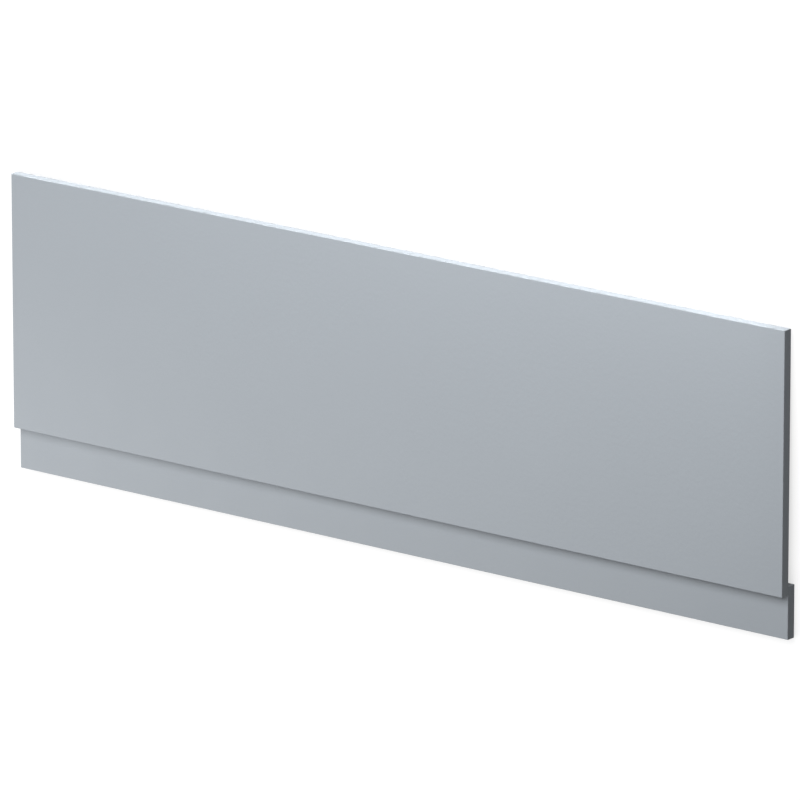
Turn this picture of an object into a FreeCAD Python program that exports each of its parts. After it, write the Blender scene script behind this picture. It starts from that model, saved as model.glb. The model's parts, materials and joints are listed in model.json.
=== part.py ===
# Two-piece bath panel: a tall front board, and a plinth board lapped behind its lower edge.
#
# The plinth stands back from the front by the panel's thickness, which makes a toe recess along the
# foot of the bath. A row of countersunk screws, driven from behind through the lap, holds the two
# boards together: the plinth has the clearance holes and the panel has the blind pilot holes.
#
# Lengths are in millimetres. Both boards are drawn in one board frame: X runs along the length, Y up
# the boards as they stand on a bath, and Z out of the front, with the origin at the middle of the
# plinth's top back edge. The part is stored lying on its back, so the board frame gets the slight
# tilt at which the plinth's top back edge and the panel's top back edge both touch the floor.
import FreeCAD
import Part
import Sketcher
import os

# Each driving size: its name, its value and what it measures.
SIZES = (
    ("board_length", 1700, "both boards from end to end, the side of a standard bath"),
    ("panel_height", 471, "front board from its lower edge to its top edge"),
    ("panel_thickness", 18, "front board"),
    ("plinth_height", 95, "plinth from its foot to its top edge"),
    ("plinth_thickness", 18, "plinth board"),
    ("plinth_lap", 16, "how far the plinth reaches up behind the panel"),
    ("edge_radius", 1, "easing of the edges round each front face"),
    ("screw_inset", 100, "first and last screw from the ends of the boards"),
    ("screw_spacing", 300, "about how far apart the screws are"),
    ("clearance_diameter", 4, "hole through the plinth for the shank of a screw"),
    ("countersink_diameter", 8, "seat of a screw head in the plinth's back"),
    ("countersink_angle", 90, "seat of a screw head, in degrees"),
    ("pilot_diameter", 2.5, "blind hole in the panel's back for the tip of a screw"),
    ("pilot_cover", 6, "panel left between the end of a pilot hole and the front face"),
)

# Where the screws lie, in the board frame: on the middle line of the lap, evenly spaced.
SCREW_ROW_LENGTH = "Sizes.board_length - 2 * Sizes.screw_inset"
SCREW_COUNT = f"round(({SCREW_ROW_LENGTH}) / Sizes.screw_spacing) + 1"
SCREW_DROP = "Sizes.plinth_lap / 2"

# How the boards lie: the rise of the panel's back over its reach past the plinth's top edge.
PANEL_REACH = "(Sizes.panel_height - Sizes.plinth_lap)"
FRONT_HEIGHT = "(Sizes.plinth_thickness + Sizes.panel_thickness)"
TILT = f"atan(Sizes.plinth_thickness / {PANEL_REACH})"
LYING_TOP = f"({PANEL_REACH} * cos({TILT}) + {FRONT_HEIGHT} * sin({TILT}))"
LYING_FOOT = f"(Sizes.plinth_height * cos({TILT}))"

# Points of a line or circle, and the origin of a sketch, as constraints number them.
START, END, CENTRE = range(1, 4)
ORIGIN = (-1, START)


def add_sizes(doc):
    """Write the driving sizes to a sheet, one row each, under the names that bind them."""
    sheet = doc.addObject("Spreadsheet::Sheet", "Sizes")
    for row, (name, value, meaning) in enumerate(SIZES, start=1):
        sheet.set(f"A{row}", name)
        sheet.set(f"B{row}", str(value))
        sheet.set(f"C{row}", meaning)
        sheet.setAlias(f"B{row}", name)
    doc.recompute()


def origin_feature(body, role):
    return next(item for item in body.Origin.OriginFeatures if item.Role == role)


def add_sketch(body, name, height):
    """Add a sketch that lies flat across the board, at a height above the board frame's origin."""
    sketch = body.newObject("Sketcher::SketchObject", name)
    sketch.AttachmentSupport = [(origin_feature(body, "XY_Plane"), "")]
    sketch.MapMode = "FlatFace"
    sketch.setExpression("AttachmentOffset.Base.z", height)
    return sketch


def constrain(sketch, name, kind, *geometry, size):
    """Add a named dimension to a sketch and bind it to an expression of the driving sizes."""
    index = sketch.addConstraint(Sketcher.Constraint(kind, *geometry, 1.0))
    sketch.renameConstraint(index, name)
    sketch.setExpression(f"Constraints.{name}", size)


def draw_board_outline(sketch, height, drop):
    """Draw a rectangle as long as the boards, whose lower edge is a drop below the origin.

    It starts as a unit square, and its constraints give it its size and place.
    """
    corners = [FreeCAD.Vector(x, y, 0) for x, y in ((-1, -1), (1, -1), (1, 1), (-1, 1))]
    sides = [Part.LineSegment(corners[side - 1], corners[side]) for side in range(len(corners))]
    left, bottom, right, top = sketch.addGeometry(sides, False)
    for side, following in ((left, bottom), (bottom, right), (right, top), (top, left)):
        sketch.addConstraint(Sketcher.Constraint("Coincident", side, END, following, START))
    for side in (left, right):
        sketch.addConstraint(Sketcher.Constraint("Vertical", side))
    for side in (bottom, top):
        sketch.addConstraint(Sketcher.Constraint("Horizontal", side))
    constrain(sketch, "length", "DistanceX", bottom, START, bottom, END, size="Sizes.board_length")
    constrain(sketch, "from_middle", "DistanceX", bottom, START, *ORIGIN, size="Sizes.board_length / 2")
    constrain(sketch, "height", "DistanceY", right, START, right, END, size=height)
    constrain(sketch, "drop", "DistanceY", bottom, START, *ORIGIN, size=drop)


def draw_first_screw(sketch, diameter):
    """Draw the first hole of the screw row, near the left end of the boards."""
    circle = sketch.addGeometry(Part.Circle(), False)
    constrain(sketch, "diameter", "Diameter", circle, size=diameter)
    constrain(sketch, "from_middle", "DistanceX", circle, CENTRE, *ORIGIN,
              size=f"({SCREW_ROW_LENGTH}) / 2")
    constrain(sketch, "drop", "DistanceY", circle, CENTRE, *ORIGIN, size=SCREW_DROP)


def front_face_name(shape):
    """Name the face of a board that lies furthest along Z, its front."""
    heights = [face.CenterOfMass.z for face in shape.Faces]
    return f"Face{heights.index(max(heights)) + 1}"


def add_board(doc, label, height, drop, back, thickness):
    """Make a board from its outline, with the edges round its front face eased."""
    body = doc.addObject("PartDesign::Body", label)
    body.Label = label
    outline = add_sketch(body, f"{label}_outline", back)
    draw_board_outline(outline, height, drop)
    pad = body.newObject("PartDesign::Pad", f"{label}_stock")
    pad.Profile = outline
    pad.setExpression("Length", thickness)
    doc.recompute()
    easing = body.newObject("PartDesign::Fillet", f"{label}_eased_edges")
    easing.Base = (pad, [front_face_name(pad.Shape)])
    easing.setExpression("Radius", "Sizes.edge_radius")
    doc.recompute()
    return body


def drill_screw_row(doc, body, back, diameter):
    """Drill the first hole of the row into a board's back; its depth is set by the caller."""
    spot = add_sketch(body, f"{body.Label}_first_screw", back)
    draw_first_screw(spot, diameter)
    doc.recompute()
    hole = body.newObject("PartDesign::Hole", f"{body.Label}_screw_hole")
    hole.Profile = spot
    hole.Reversed = True
    hole.ThreadType = "None"
    hole.setExpression("Diameter", diameter)
    return hole


def repeat_screw_row(doc, body, hole):
    """Repeat the first hole along the board."""
    doc.recompute()
    row = body.newObject("PartDesign::LinearPattern", f"{body.Label}_screw_row")
    row.Originals = [hole]
    row.Direction = (origin_feature(body, "X_Axis"), [""])
    row.setExpression("Length", SCREW_ROW_LENGTH)
    row.setExpression("Occurrences", SCREW_COUNT)
    body.Tip = row
    doc.recompute()


def make_plinth(doc):
    """Plinth: its back lies at the board frame's origin, with countersunk holes along its lap."""
    body = add_board(doc, "plinth", "Sizes.plinth_height", "Sizes.plinth_height",
                     "0", "Sizes.plinth_thickness")
    hole = drill_screw_row(doc, body, "0", "Sizes.clearance_diameter")
    hole.DepthType = "ThroughAll"
    hole.HoleCutType = "Countersink"
    hole.HoleCutCustomValues = True
    hole.setExpression("HoleCutDiameter", "Sizes.countersink_diameter")
    hole.setExpression("HoleCutCountersinkAngle", "Sizes.countersink_angle")
    repeat_screw_row(doc, body, hole)
    return body


def make_front_panel(doc):
    """Front panel: its back lies on the plinth's front, with blind pilot holes behind the lap."""
    body = add_board(doc, "front_panel", "Sizes.panel_height", "Sizes.plinth_lap",
                     "Sizes.plinth_thickness", "Sizes.panel_thickness")
    hole = drill_screw_row(doc, body, "Sizes.plinth_thickness", "Sizes.pilot_diameter")
    hole.DepthType = "Dimension"
    hole.DrillPoint = "Flat"
    hole.setExpression("Depth", "Sizes.panel_thickness - Sizes.pilot_cover")
    repeat_screw_row(doc, body, hole)
    return body


def lay_down(body):
    """Turn a board from the board frame to where it lies, centred over the floor's origin.

    The first turn only fixes the axis, which a turn of zero would lose.
    """
    first_turn = FreeCAD.Rotation(FreeCAD.Vector(-1, 0, 0), 1)
    body.Placement = FreeCAD.Placement(FreeCAD.Vector(0, 0, 0), first_turn)
    body.setExpression("Placement.Rotation.Angle", TILT)
    body.setExpression("Placement.Base.y", f"({LYING_FOOT} - {LYING_TOP}) / 2")


def check(doc, boards):
    """Stop if a feature failed, a board isn't one sound solid, or a hole took nothing away."""
    for item in doc.Objects:
        if "Invalid" in item.State or "Error" in item.State:
            raise RuntimeError(f"{item.Name} failed: {item.State}")
        if item.TypeId in ("PartDesign::Hole", "PartDesign::LinearPattern"):
            if item.Shape.Volume >= item.BaseFeature.Shape.Volume:
                raise RuntimeError(f"{item.Name} cuts nothing")
    for board in boards:
        if board.Shape.isNull() or not board.Shape.isValid() or len(board.Shape.Solids) != 1:
            raise RuntimeError(f"{board.Label} is not one sound solid")


document = FreeCAD.newDocument("bath_panel")
add_sizes(document)
boards = [make_front_panel(document), make_plinth(document)]
for board in boards:
    lay_down(board)
document.recompute()
check(document, boards)

os.makedirs("parts", exist_ok=True)
for board in boards:
    board.Shape.exportStep(f"parts/{board.Label}.step")
    box = board.Shape.BoundBox
    print(f"{board.Label}: volume {board.Shape.Volume:.0f}, X {box.XMin:.2f} to {box.XMax:.2f},"
          f" Y {box.YMin:.2f} to {box.YMax:.2f}, Z {box.ZMin:.2f} to {box.ZMax:.2f}")
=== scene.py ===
# %% [markdown]
# # A two-piece bath panel
# A bath panel closes the side of a bath. This one is two lacquered boards: a tall front panel, and a
# plinth that stands back behind its lower edge, so that toes fit under the front. The part lies on its
# back on a pale floor, and the camera looks down on it. The boards come from the CAD model with their
# shape finished. This lesson gives them their lacquer, adds the screws that hold them together, and
# sets up a small studio round them.

# %% Load the boards
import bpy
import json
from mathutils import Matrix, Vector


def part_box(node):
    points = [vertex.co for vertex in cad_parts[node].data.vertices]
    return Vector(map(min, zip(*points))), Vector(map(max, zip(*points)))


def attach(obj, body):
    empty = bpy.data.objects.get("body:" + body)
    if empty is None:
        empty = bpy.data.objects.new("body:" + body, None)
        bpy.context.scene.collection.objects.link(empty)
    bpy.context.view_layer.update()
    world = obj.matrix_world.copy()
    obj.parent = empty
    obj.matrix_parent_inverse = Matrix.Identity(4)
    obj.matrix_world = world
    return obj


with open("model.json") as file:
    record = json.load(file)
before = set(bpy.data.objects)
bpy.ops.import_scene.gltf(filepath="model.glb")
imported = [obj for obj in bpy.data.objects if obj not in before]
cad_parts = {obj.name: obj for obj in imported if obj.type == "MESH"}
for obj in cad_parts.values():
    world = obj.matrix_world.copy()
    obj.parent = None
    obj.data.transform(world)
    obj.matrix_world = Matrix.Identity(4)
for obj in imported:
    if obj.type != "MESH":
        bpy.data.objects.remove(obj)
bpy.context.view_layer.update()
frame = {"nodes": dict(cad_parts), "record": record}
print("boards:", ", ".join(frame["nodes"]))

# %% [markdown]
# ## Directions on the boards
# The boards don't lie quite level. The plinth is behind the panel, so the part rests on the plinth's
# top edge and on the panel's top edge, a little over two degrees off the floor. That angle could be
# typed in here, but the model's record already names the faces of the boards, each with a place and a
# direction. Reading those keeps the screws, the camera and the lamps square to the boards.

# %% Read the directions
import math

from mathutils import Matrix, Vector

mounts = {mount["name"]: mount for mount in frame["record"]["mounts"]}
foot_middle = Vector(mounts["plinth_foot"]["pos_m"])
along = Vector(mounts["panel_right_end"]["axis"])
upwards = Vector(mounts["top_edge"]["axis"])
outwards = along.cross(upwards)


def on_boards(right, up, out):
    """A place in metres from the middle of the plinth's foot, along the boards' own directions."""
    return foot_middle + right * along + up * upwards + out * outwards


print("the boards lie", round(math.degrees(math.acos(outwards.z)), 2), "degrees off level")

# %% [markdown]
# ## Tools for the materials
# A colour picked from a picture is an sRGB value, but a shader works with linear light, so one function
# turns hex colours into linear ones. A second one adds any kind of node, with its settings and its
# links. Node trees could be written out with a new line for each socket, but with this function a node
# reads as one sentence. A third one starts a material.

# %% Colours, nodes and materials
import bpy


def linear(hex_colour):
    """Turn an sRGB hex colour into the linear red, green, blue and alpha that a shader takes."""
    channels = [int(hex_colour[start:start + 2], 16) / 255 for start in (1, 3, 5)]
    return [c / 12.92 if c <= 0.04045 else ((c + 0.055) / 1.055) ** 2.4 for c in channels] + [1.0]


def add_node(tree, kind, inputs=None, **settings):
    """Add a node with its settings, and give each named input a value or a link from an output."""
    node = tree.nodes.new(kind)
    for name, value in settings.items():
        setattr(node, name, value)
    for name, value in (inputs or {}).items():
        if isinstance(value, bpy.types.NodeSocket):
            tree.links.new(value, node.inputs[name])
        else:
            node.inputs[name].default_value = value
    return node


def start_material(name):
    """Start a material with Blender's own nodes, and return it with its node tree."""
    material = bpy.data.materials.new(name)
    material.use_nodes = True
    return material, material.node_tree


print("sRGB #808080 is", round(linear("#808080")[0], 3), "in linear light")

# %% [markdown]
# ## The lacquer
# The boards are fibreboard under sprayed satin lacquer. Such a finish looks even, but it isn't one flat
# colour: the spray lands a little thicker in places, which leaves faint clouds, the film dries with a
# fine orange peel, and the cut edges drink in more lacquer than the faces, so they stay duller. These
# could be painted as image textures. Noise in Object coordinates needs no image and no unwrapping, and
# it runs round every edge without a seam.

# %% Satin lacquer
MM = 0.001
LACQUER_THIN = "#AAB1B8"
LACQUER_THICK = "#ACB3BA"
SPRAY_CLOUD_MM = 220
# Satin lies about halfway between gloss and matt.
FACE_ROUGHNESS_MIN = 0.42
FACE_ROUGHNESS_MAX = 0.50
EDGE_ROUGHNESS_ADDED = 0.10
GLOSS_PATCH_MM = 60
# Real orange peel is about 2 mm from crest to crest, too fine to show here, so it is drawn coarser.
ORANGE_PEEL_MM = 7
ORANGE_PEEL_DEPTH_MM = 0.20


def make_lacquer(name):
    """Satin grey lacquer, sprayed on fibreboard: a soft, even sheen with hardly any texture."""
    material, tree = start_material(name)
    shader = tree.nodes["Principled BSDF"]
    place = add_node(tree, "ShaderNodeTexCoord")

    # Clouds of thinner and thicker spray.
    clouds = add_node(tree, "ShaderNodeTexNoise", {
        "Vector": place.outputs["Object"], "Scale": 1 / (SPRAY_CLOUD_MM * MM)})
    film = add_node(tree, "ShaderNodeValToRGB", {"Fac": clouds.outputs["Fac"]})
    film.color_ramp.elements[0].color = linear(LACQUER_THIN)
    film.color_ramp.elements[1].color = linear(LACQUER_THICK)
    tree.links.new(film.outputs["Color"], shader.inputs["Base Color"])

    # A sheen that varies a little, and is duller where the surface turns away from the faces.
    patches = add_node(tree, "ShaderNodeTexNoise", {
        "Vector": place.outputs["Object"], "Scale": 1 / (GLOSS_PATCH_MM * MM)})
    sheen = add_node(tree, "ShaderNodeMapRange", {
        "Value": patches.outputs["Fac"], "To Min": FACE_ROUGHNESS_MIN, "To Max": FACE_ROUGHNESS_MAX})
    facing = add_node(tree, "ShaderNodeVectorMath", {
        0: place.outputs["Normal"], 1: outwards}, operation="DOT_PRODUCT")
    flatness = add_node(tree, "ShaderNodeMath", {0: facing.outputs["Value"]}, operation="ABSOLUTE")
    edge_loss = add_node(tree, "ShaderNodeMapRange", {
        "Value": flatness.outputs["Value"], "To Min": EDGE_ROUGHNESS_ADDED, "To Max": 0.0})
    roughness = add_node(tree, "ShaderNodeMath", {
        0: sheen.outputs["Result"], 1: edge_loss.outputs["Result"]}, operation="ADD")
    tree.links.new(roughness.outputs["Value"], shader.inputs["Roughness"])

    # Orange peel.
    peel = add_node(tree, "ShaderNodeTexNoise", {
        "Vector": place.outputs["Object"], "Scale": 1 / (ORANGE_PEEL_MM * MM), "Detail": 1.0})
    relief = add_node(tree, "ShaderNodeBump", {
        "Height": peel.outputs["Fac"], "Distance": ORANGE_PEEL_DEPTH_MM * MM})
    tree.links.new(relief.outputs["Normal"], shader.inputs["Normal"])
    return material


lacquer = make_lacquer("satin_grey_lacquer")
for name in frame["nodes"]:
    board = bpy.data.objects[name]
    board.material_slots[0].material = lacquer
    print(name, "wears", lacquer.name, "on", len(board.data.polygons), "faces")

# %% [markdown]
# ## The finish of the screws
# The screws that hold the two boards together are steel, plated with zinc. Plating is a metal, so its
# colour is the colour of its reflections, and bright zinc is a pale grey with a slightly cloudy shine.
# A plain metal with one roughness would look like chrome, so a fine noise varies colour and roughness.

# %% Zinc plating
ZINC_DARK = "#B4B7B8"
ZINC_PALE = "#C9CCCE"
ZINC_ROUGHNESS_MIN = 0.28
ZINC_ROUGHNESS_MAX = 0.42
ZINC_CLOUD_MM = 1.5


def make_zinc(name):
    """Bright zinc plating on steel: a pale grey metal with a cloudy shine."""
    material, tree = start_material(name)
    shader = tree.nodes["Principled BSDF"]
    shader.inputs["Metallic"].default_value = 1.0
    place = add_node(tree, "ShaderNodeTexCoord")
    clouds = add_node(tree, "ShaderNodeTexNoise", {
        "Vector": place.outputs["Object"], "Scale": 1 / (ZINC_CLOUD_MM * MM)})
    plating = add_node(tree, "ShaderNodeValToRGB", {"Fac": clouds.outputs["Fac"]})
    plating.color_ramp.elements[0].color = linear(ZINC_DARK)
    plating.color_ramp.elements[1].color = linear(ZINC_PALE)
    tree.links.new(plating.outputs["Color"], shader.inputs["Base Color"])
    shine = add_node(tree, "ShaderNodeMapRange", {
        "Value": clouds.outputs["Fac"], "To Min": ZINC_ROUGHNESS_MIN, "To Max": ZINC_ROUGHNESS_MAX})
    tree.links.new(shine.outputs["Result"], shader.inputs["Roughness"])
    return material


zinc = make_zinc("zinc_plated_steel")
print("made", zinc.name)

# %% [markdown]
# ## The head of a screw
# A countersunk wood screw is a turned shape: a flat head with a cross recess, a cone that seats in the
# plinth, a smooth shank, a thread and a point. The recess could be cut from a turned head with a
# Boolean, but that leaves thin stray faces. Here the flat is filled between the rim of the head and the
# mouth of the recess, and a band of faces goes down to the recess's floor. The screw is built in
# millimetres, with its head at the origin and its point along +Z.

# %% Build the head
import bmesh

HEAD_RADIUS_MM = 3.8
RECESS_REACH_MM = 2.1
RECESS_HALF_WIDTH_MM = 0.4
RECESS_DEPTH_MM = 1.6
RECESS_TAPER = 0.7
ROUND_STEPS = 24


def add_ring(mesh, depth, radius_at):
    """Add a ring of points at a depth below the head, with a radius for each angle."""
    angles = [math.tau * step / ROUND_STEPS for step in range(ROUND_STEPS)]
    circle = [(radius_at(angle), angle) for angle in angles]
    return [mesh.verts.new((r * math.cos(angle), r * math.sin(angle), depth)) for r, angle in circle]


def add_cross(mesh, depth, scale):
    """Add the twelve corners of the cross recess at a depth, going round it."""
    reach = RECESS_REACH_MM
    width = RECESS_HALF_WIDTH_MM
    arm = [Vector((reach, -width, 0)), Vector((reach, width, 0)), Vector((width, width, 0))]
    turns = [Matrix.Rotation(math.radians(angle), 3, "Z") for angle in (0, 90, 180, 270)]
    corners = [turn @ point for turn in turns for point in arm]
    return [mesh.verts.new(scale * corner + Vector((0, 0, depth))) for corner in corners]


def bridge(mesh, upper, lower):
    """Join two rings of points with a band of faces."""
    for step in range(len(upper)):
        mesh.faces.new((upper[step - 1], upper[step], lower[step], lower[step - 1]))


def add_head(mesh):
    """Add the flat of the head with its recess, and return the rim that the cone starts from."""
    rim = add_ring(mesh, depth=0.0, radius_at=lambda angle: HEAD_RADIUS_MM)
    mouth = add_cross(mesh, depth=0.0, scale=1.0)
    floor = add_cross(mesh, depth=RECESS_DEPTH_MM, scale=RECESS_TAPER)
    outlines = []
    for ring in (rim, mouth):
        outlines += [mesh.edges.new((ring[step - 1], ring[step])) for step in range(len(ring))]
    bmesh.ops.triangle_fill(mesh, edges=outlines, use_beauty=True)
    bridge(mesh, mouth, floor)
    mesh.faces.new(floor)
    return rim


screw_mesh = bmesh.new()
head_rim = add_head(screw_mesh)
print("the head has", len(screw_mesh.faces), "faces")

# %% [markdown]
# ## The shank, thread and point
# Under the head a cone narrows to a smooth shank, and from there a thread winds round a thinner core to
# the point. A lathe tool such as Spin can't make a thread, and a helix would have to be joined to its
# core. Rings of points do both: each ring lies a little deeper, and its radius is larger at the angle
# where the crest of the thread passes, so that core and thread are one closed surface.

# %% Build the shank, thread and point
SHANK_RADIUS_MM = 1.75
CORE_RADIUS_MM = 1.25
THREAD_START_MM = 10.0
THREAD_PITCH_MM = 1.6
THREAD_STEPS = 8
# How much of each pitch the crest takes up; the rest is bare core.
CREST_SHARE = 0.5
POINT_START_MM = 24.5
SCREW_LENGTH_MM = 28.0
SHARP_EDGE = math.radians(40)


def thread_radius(depth, angle):
    """The radius of the threaded part: a core with a winding crest, drawn in to the point."""
    turns = depth / THREAD_PITCH_MM - angle / math.tau
    turns_from_crest = abs(turns % 1.0 - 0.5)
    crest = max(0.0, 1.0 - turns_from_crest / (CREST_SHARE / 2))
    draw_in = min(1.0, (SCREW_LENGTH_MM - depth) / (SCREW_LENGTH_MM - POINT_START_MM))
    return draw_in * (CORE_RADIUS_MM + crest * (SHANK_RADIUS_MM - CORE_RADIUS_MM))


def add_shaft(mesh, rim):
    """Add the cone under the head, the shank, the thread and the point, ring by ring."""
    cone_end = add_ring(mesh, HEAD_RADIUS_MM - SHANK_RADIUS_MM, lambda angle: SHANK_RADIUS_MM)
    shank_end = add_ring(mesh, THREAD_START_MM, lambda angle: SHANK_RADIUS_MM)
    rings = [rim, cone_end, shank_end]
    ring_gap = THREAD_PITCH_MM / THREAD_STEPS
    for step in range(1, round((SCREW_LENGTH_MM - THREAD_START_MM) / ring_gap)):
        depth = THREAD_START_MM + step * ring_gap
        rings.append(add_ring(mesh, depth, lambda angle: thread_radius(depth, angle)))
    for upper, lower in zip(rings, rings[1:]):
        bridge(mesh, upper, lower)
    point = mesh.verts.new((0, 0, SCREW_LENGTH_MM))
    for step in range(ROUND_STEPS):
        mesh.faces.new((rings[-1][step - 1], rings[-1][step], point))


def finish_screw(mesh):
    """Turn the faces outwards, bring the screw to metres and keep it as an object."""
    bmesh.ops.recalc_face_normals(mesh, faces=mesh.faces)
    bmesh.ops.scale(mesh, vec=(MM, MM, MM), verts=mesh.verts)
    data = bpy.data.meshes.new("screw")
    mesh.to_mesh(data)
    mesh.free()
    data.shade_smooth()
    data.set_sharp_from_angle(angle=SHARP_EDGE)
    data.materials.append(zinc)
    return bpy.data.objects.new("screw", data)


add_shaft(screw_mesh, head_rim)
screw = finish_screw(screw_mesh)
print("one screw has", len(screw.data.polygons), "faces")

# %% [markdown]
# ## A row of screws
# The screws run along the plinth's lap, evenly spaced, and each stops at its own angle when it is
# driven home. Copies could be placed one by one in a loop. Geometry Nodes do it with a tree that can be
# used again: a line of points, a screw on each, turned to the drive direction and then by a random
# amount from a fixed seed. The tree ends as real mesh with its material, because instances would be
# lost when the model is exported.

# %% Build the node tree
ROW_INPUTS = {
    "Screw": "NodeSocketObject", "Count": "NodeSocketInt", "Start": "NodeSocketVector",
    "Step": "NodeSocketVector", "Drive": "NodeSocketVector", "Seed": "NodeSocketInt",
    "Finish": "NodeSocketMaterial"}
# A cross looks the same after a quarter turn.
LARGEST_TURN = math.radians(90)


def build_row_tree():
    """Lay copies of a screw along a line, each driven in one direction and turned at random."""
    tree = bpy.data.node_groups.new("screw_row", "GeometryNodeTree")
    for name, kind in ROW_INPUTS.items():
        tree.interface.new_socket(name, in_out="INPUT", socket_type=kind)
    tree.interface.new_socket("Screws", in_out="OUTPUT", socket_type="NodeSocketGeometry")
    given = add_node(tree, "NodeGroupInput").outputs
    points = add_node(tree, "GeometryNodeMeshLine", {
        "Count": given["Count"], "Start Location": given["Start"],
        "Offset": given["Step"]}, mode="OFFSET")
    shape = add_node(tree, "GeometryNodeObjectInfo", {"Object": given["Screw"]})
    driven = add_node(tree, "FunctionNodeAlignRotationToVector", {"Vector": given["Drive"]}, axis="Z")
    # Of this node's sockets, input 3 is the largest plain number and output 1 the number drawn.
    turn = add_node(tree, "FunctionNodeRandomValue", {3: LARGEST_TURN, "Seed": given["Seed"]})
    stop = add_node(tree, "FunctionNodeAxisAngleToRotation", {
        "Axis": (0, 0, 1), "Angle": turn.outputs[1]})
    home = add_node(tree, "FunctionNodeRotateRotation", {
        "Rotation": driven.outputs[0], "Rotate By": stop.outputs[0]}, rotation_space="LOCAL")
    copies = add_node(tree, "GeometryNodeInstanceOnPoints", {
        "Points": points.outputs["Mesh"], "Instance": shape.outputs["Geometry"],
        "Rotation": home.outputs[0]})
    real = add_node(tree, "GeometryNodeRealizeInstances", {"Geometry": copies.outputs["Instances"]})
    plated = add_node(tree, "GeometryNodeSetMaterial", {
        "Geometry": real.outputs["Geometry"], "Material": given["Finish"]})
    add_node(tree, "NodeGroupOutput", {"Screws": plated.outputs["Geometry"]})
    return tree


row_tree = build_row_tree()
print(row_tree.name, "has", len(row_tree.nodes), "nodes")

# %% [markdown]
# ## The row in its place
# In the CAD model the holes lie on the middle line of the lap, at an inset from each end and about a
# spacing apart. Their places could be copied one by one. A row worked out from the plinth's length
# follows the holes when the boards get longer, and it needs only these few sizes, in metres. Once the
# tree has run, its result is kept as a plain mesh, because the export takes no live modifier.

# %% Lay out the row
SCREW_INSET = 0.100
SCREW_SPACING = 0.300
# The middle line of the lap, from the middle of the plinth's back.
ROW_ABOVE_PLINTH_MIDDLE = 0.0395
HEAD_BELOW_BACK = 0.0002
DRIVE_SEED = 4


def add_object(name, data):
    """Make an object from its data and put it into the scene."""
    thing = bpy.data.objects.new(name, data)
    bpy.context.scene.collection.objects.link(thing)
    return thing


def lay_out_screws(tree):
    """Run the tree along the plinth's lap and keep the result as a plain mesh."""
    plinth_low, plinth_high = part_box("plinth")
    row_length = (plinth_high - plinth_low).dot(along) - 2 * SCREW_INSET
    count = round(row_length / SCREW_SPACING) + 1
    gap = row_length / (count - 1)
    middle = Vector(mounts["plinth_back"]["pos_m"]) + ROW_ABOVE_PLINTH_MIDDLE * upwards
    start = middle - row_length / 2 * along + HEAD_BELOW_BACK * outwards
    values = {"Screw": screw, "Count": count, "Start": start, "Step": gap * along,
              "Drive": outwards, "Seed": DRIVE_SEED, "Finish": zinc}
    row = add_object("plinth_screws", bpy.data.meshes.new("empty_row"))
    modifier = row.modifiers.new("row", "NODES")
    modifier.node_group = tree
    for socket in tree.interface.items_tree:
        if socket.in_out == "INPUT":
            modifier[socket.identifier] = values[socket.name]
    evaluated = row.evaluated_get(bpy.context.evaluated_depsgraph_get())
    mesh = bpy.data.meshes.new_from_object(evaluated)
    row.modifiers.remove(modifier)
    row.data = mesh
    print(count, "screws,", round(gap, 3), "m apart")
    return row


plinth_screws = lay_out_screws(row_tree)
bpy.data.objects.remove(screw)
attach(plinth_screws, "root")
print(plinth_screws.name, "has", len(plinth_screws.data.polygons), "faces")

# %% [markdown]
# ## The camera
# The long edges of the boards hardly draw together with distance, which means a long lens, far away.
# The lens, the distance and the two angles come from matching the corners of the boards. The camera
# could be set up in the world's directions, but the part lies flat, and in the picture its top edge is
# at the top. So the camera is placed and turned in the boards' own directions.

# %% Place the camera
LENS_MM = 465.5
VIEW_DISTANCE = 17.991
VIEW_FROM_RIGHT = math.radians(37.90)
VIEW_FROM_ABOVE = math.radians(15.96)
view_target = on_boards(right=0.0283, up=0.2846, out=0.0275)


def turn_towards(back, level):
    """The turn of a camera or lamp that looks against back, with its X axis near level."""
    side = (level - level.dot(back) * back).normalized()
    return Matrix((side, back.cross(side), back)).transposed().to_4x4()


def place_camera():
    """Point a long lens at the front of the panel, from its right and from above its top edge."""
    ahead = math.cos(VIEW_FROM_ABOVE)
    back = (ahead * math.sin(VIEW_FROM_RIGHT) * along + math.sin(VIEW_FROM_ABOVE) * upwards
            + ahead * math.cos(VIEW_FROM_RIGHT) * outwards)
    data = bpy.data.cameras.new("camera")
    data.lens = LENS_MM
    camera = add_object("camera", data)
    camera.matrix_world = turn_towards(back, upwards.cross(back))
    camera.location = view_target + VIEW_DISTANCE * back
    bpy.context.scene.camera = camera
    return camera


camera = place_camera()
print("the camera stands at", [round(c, 2) for c in camera.location])

# %% [markdown]
# ## The lamps
# Light tells the shapes apart here: the panel is brightest at its top left and darkest at its lower
# right, the plinth has a soft shadow line under the panel, the right end is dark and the top edge is
# almost white. One lamp can't do all that. A large softbox beyond the top edge throws the shadow line,
# a smaller one at the lower left lifts that side, and a low strip lights little but the top edge. The
# strip wears a grid, which Blender calls spread: its light goes almost straight ahead, so that the top
# edge is bright up to the corner and the right end stays dark. All lamps stay out of the camera's
# sight, and the strip out of reflections too, because it would glare there.

# %% Softboxes
panel_middle = on_boards(right=0.0, up=0.315, out=0.0275)
# The strip reaches well past the left end of the top edge, and ends just past its right end.
strip_target = on_boards(right=-0.23, up=0.55, out=0.0185)
GRID_SPREAD = math.radians(25)


def add_softbox(name, place, target, size, watts):
    """Add a soft rectangular lamp that faces a target, with its long side along the boards."""
    data = bpy.data.lights.new(name, "AREA")
    data.shape = "RECTANGLE"
    data.size, data.size_y = size
    data.energy = watts
    lamp = add_object(name, data)
    lamp.matrix_world = turn_towards((place - target).normalized(), along)
    lamp.location = place
    lamp.visible_camera = False
    return lamp


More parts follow.
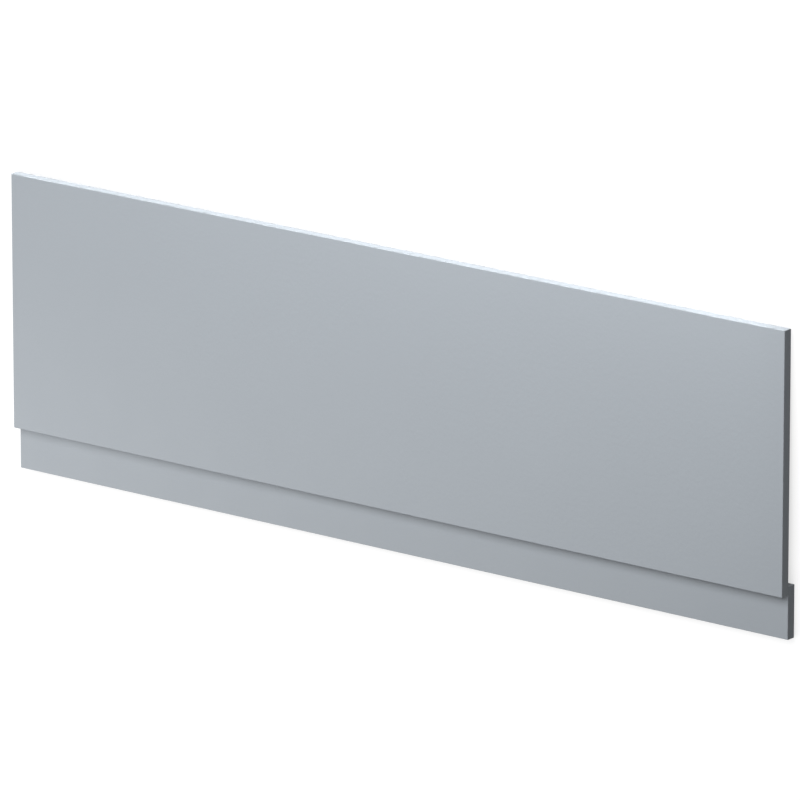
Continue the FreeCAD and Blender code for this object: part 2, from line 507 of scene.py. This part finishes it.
add_softbox("upper_softbox", place=on_boards(right=0.45, up=1.50, out=1.83),
            target=panel_middle, size=(2.8, 1.4), watts=48.0)
add_softbox("left_softbox", place=on_boards(right=-1.45, up=-0.55, out=1.08),
            target=panel_middle, size=(2.3, 0.7), watts=15.0)
edge_strip = add_softbox("top_edge_strip", place=on_boards(right=-0.23, up=1.05, out=0.0575),
                         target=strip_target, size=(2.2, 0.05), watts=1.25)
edge_strip.data.spread = GRID_SPREAD
edge_strip.visible_glossy = False

# %% [markdown]
# ## The floor
# The part lies on white paper. Paper lit until it is white would throw so much light back that the dark
# end of the panel went pale. So the paper has two sides: the camera and the reflections see it white,
# and for all other light it is dim. Its white is mostly a glow, which stands for the light of the room,
# and the rest is lamplight. A glow alone takes no shadow, so its shadow is painted: Ambient Occlusion
# dims the glow under the boards and close to them, where less of the room is in sight.

# %% Paper floor
FLOOR_WIDTH = 60.0
PAPER_GLOW = 0.97
# The glow's strength in the painted shadow under and near the boards, and how far that shadow reaches.
GLOW_IN_PAINTED_SHADOW = 0.60
SHADE_REACH = 0.035
PAPER_SEEN = "#7C7C7C"
PAPER_BOUNCED = "#404040"


def seen_directly(tree):
    """One for a ray from the camera, a reflection or a clear material, and zero for other light."""
    ray = add_node(tree, "ShaderNodeLightPath").outputs
    clear = add_node(tree, "ShaderNodeMath", {
        0: ray["Is Glossy Ray"], 1: ray["Is Transmission Ray"]}, operation="MAXIMUM")
    return add_node(tree, "ShaderNodeMath", {
        0: ray["Is Camera Ray"], 1: clear.outputs["Value"]}, operation="MAXIMUM").outputs["Value"]


def make_paper(name):
    """White background paper: a glow with a painted shadow under the boards, and little light thrown
    back.
    """
    material, tree = start_material(name)
    tree.nodes.remove(tree.nodes["Principled BSDF"])
    dim = add_node(tree, "ShaderNodeBsdfDiffuse", {"Color": linear(PAPER_BOUNCED)})
    lit = add_node(tree, "ShaderNodeBsdfDiffuse", {"Color": linear(PAPER_SEEN)})
    # Painted shadow: Ambient Occlusion dims the paper's glow under the boards and close to them.
    painted_shadow_mask = add_node(tree, "ShaderNodeAmbientOcclusion", {"Distance": SHADE_REACH})
    glow_with_painted_shadow = add_node(tree, "ShaderNodeMapRange", {
        "Value": painted_shadow_mask.outputs["AO"], "To Min": GLOW_IN_PAINTED_SHADOW, "To Max": PAPER_GLOW})
    glow = add_node(tree, "ShaderNodeEmission", {"Strength": glow_with_painted_shadow.outputs["Result"]})
    white = add_node(tree, "ShaderNodeAddShader", {0: lit.outputs["BSDF"], 1: glow.outputs["Emission"]})
    paper = add_node(tree, "ShaderNodeMixShader", {
        0: seen_directly(tree), 1: dim.outputs["BSDF"], 2: white.outputs["Shader"]})
    tree.links.new(paper.outputs["Shader"], tree.nodes["Material Output"].inputs["Surface"])
    return material


def make_floor():
    """One large square of paper, level with the lowest edges of the boards."""
    mesh = bmesh.new()
    bmesh.ops.create_grid(mesh, x_segments=1, y_segments=1, size=FLOOR_WIDTH / 2)
    data = bpy.data.meshes.new("floor")
    mesh.to_mesh(data)
    mesh.free()
    data.materials.append(make_paper("white_background_paper"))
    return add_object("floor", data)


make_floor()
print("the floor is", FLOOR_WIDTH, "m wide")

# %% [markdown]
# ## The room
# Round the paper is a white room. A plain white world would be the simplest one, but it would light the
# boards from every side and take the shadows away. So the room has two sides, as the paper has: white
# where it is seen, and dim as a light. The Standard view shows the colours as they are written.

# %% White room
ROOM_WHITE = linear("#FFFFFF")
ROOM_DIM = 0.03


def light_room():
    """A white room to the eye, and a dim even light on the boards."""
    world = bpy.data.worlds.new("white_room")
    world.use_nodes = True
    tree = world.node_tree
    dim = tree.nodes["Background"]
    dim.inputs["Color"].default_value = ROOM_WHITE
    dim.inputs["Strength"].default_value = ROOM_DIM
    white = add_node(tree, "ShaderNodeBackground", {"Color": ROOM_WHITE})
    room = add_node(tree, "ShaderNodeMixShader", {
        0: seen_directly(tree), 1: dim.outputs["Background"], 2: white.outputs["Background"]})
    tree.links.new(room.outputs["Shader"], tree.nodes["World Output"].inputs["Surface"])
    bpy.context.scene.world = world
    return world


room = light_room()
bpy.context.scene.view_settings.view_transform = "Standard"
print("the world is", room.name, "and lights the boards with", ROOM_DIM, "of its white")

# %% [markdown]
# ## Finish

# %% Finish
import json
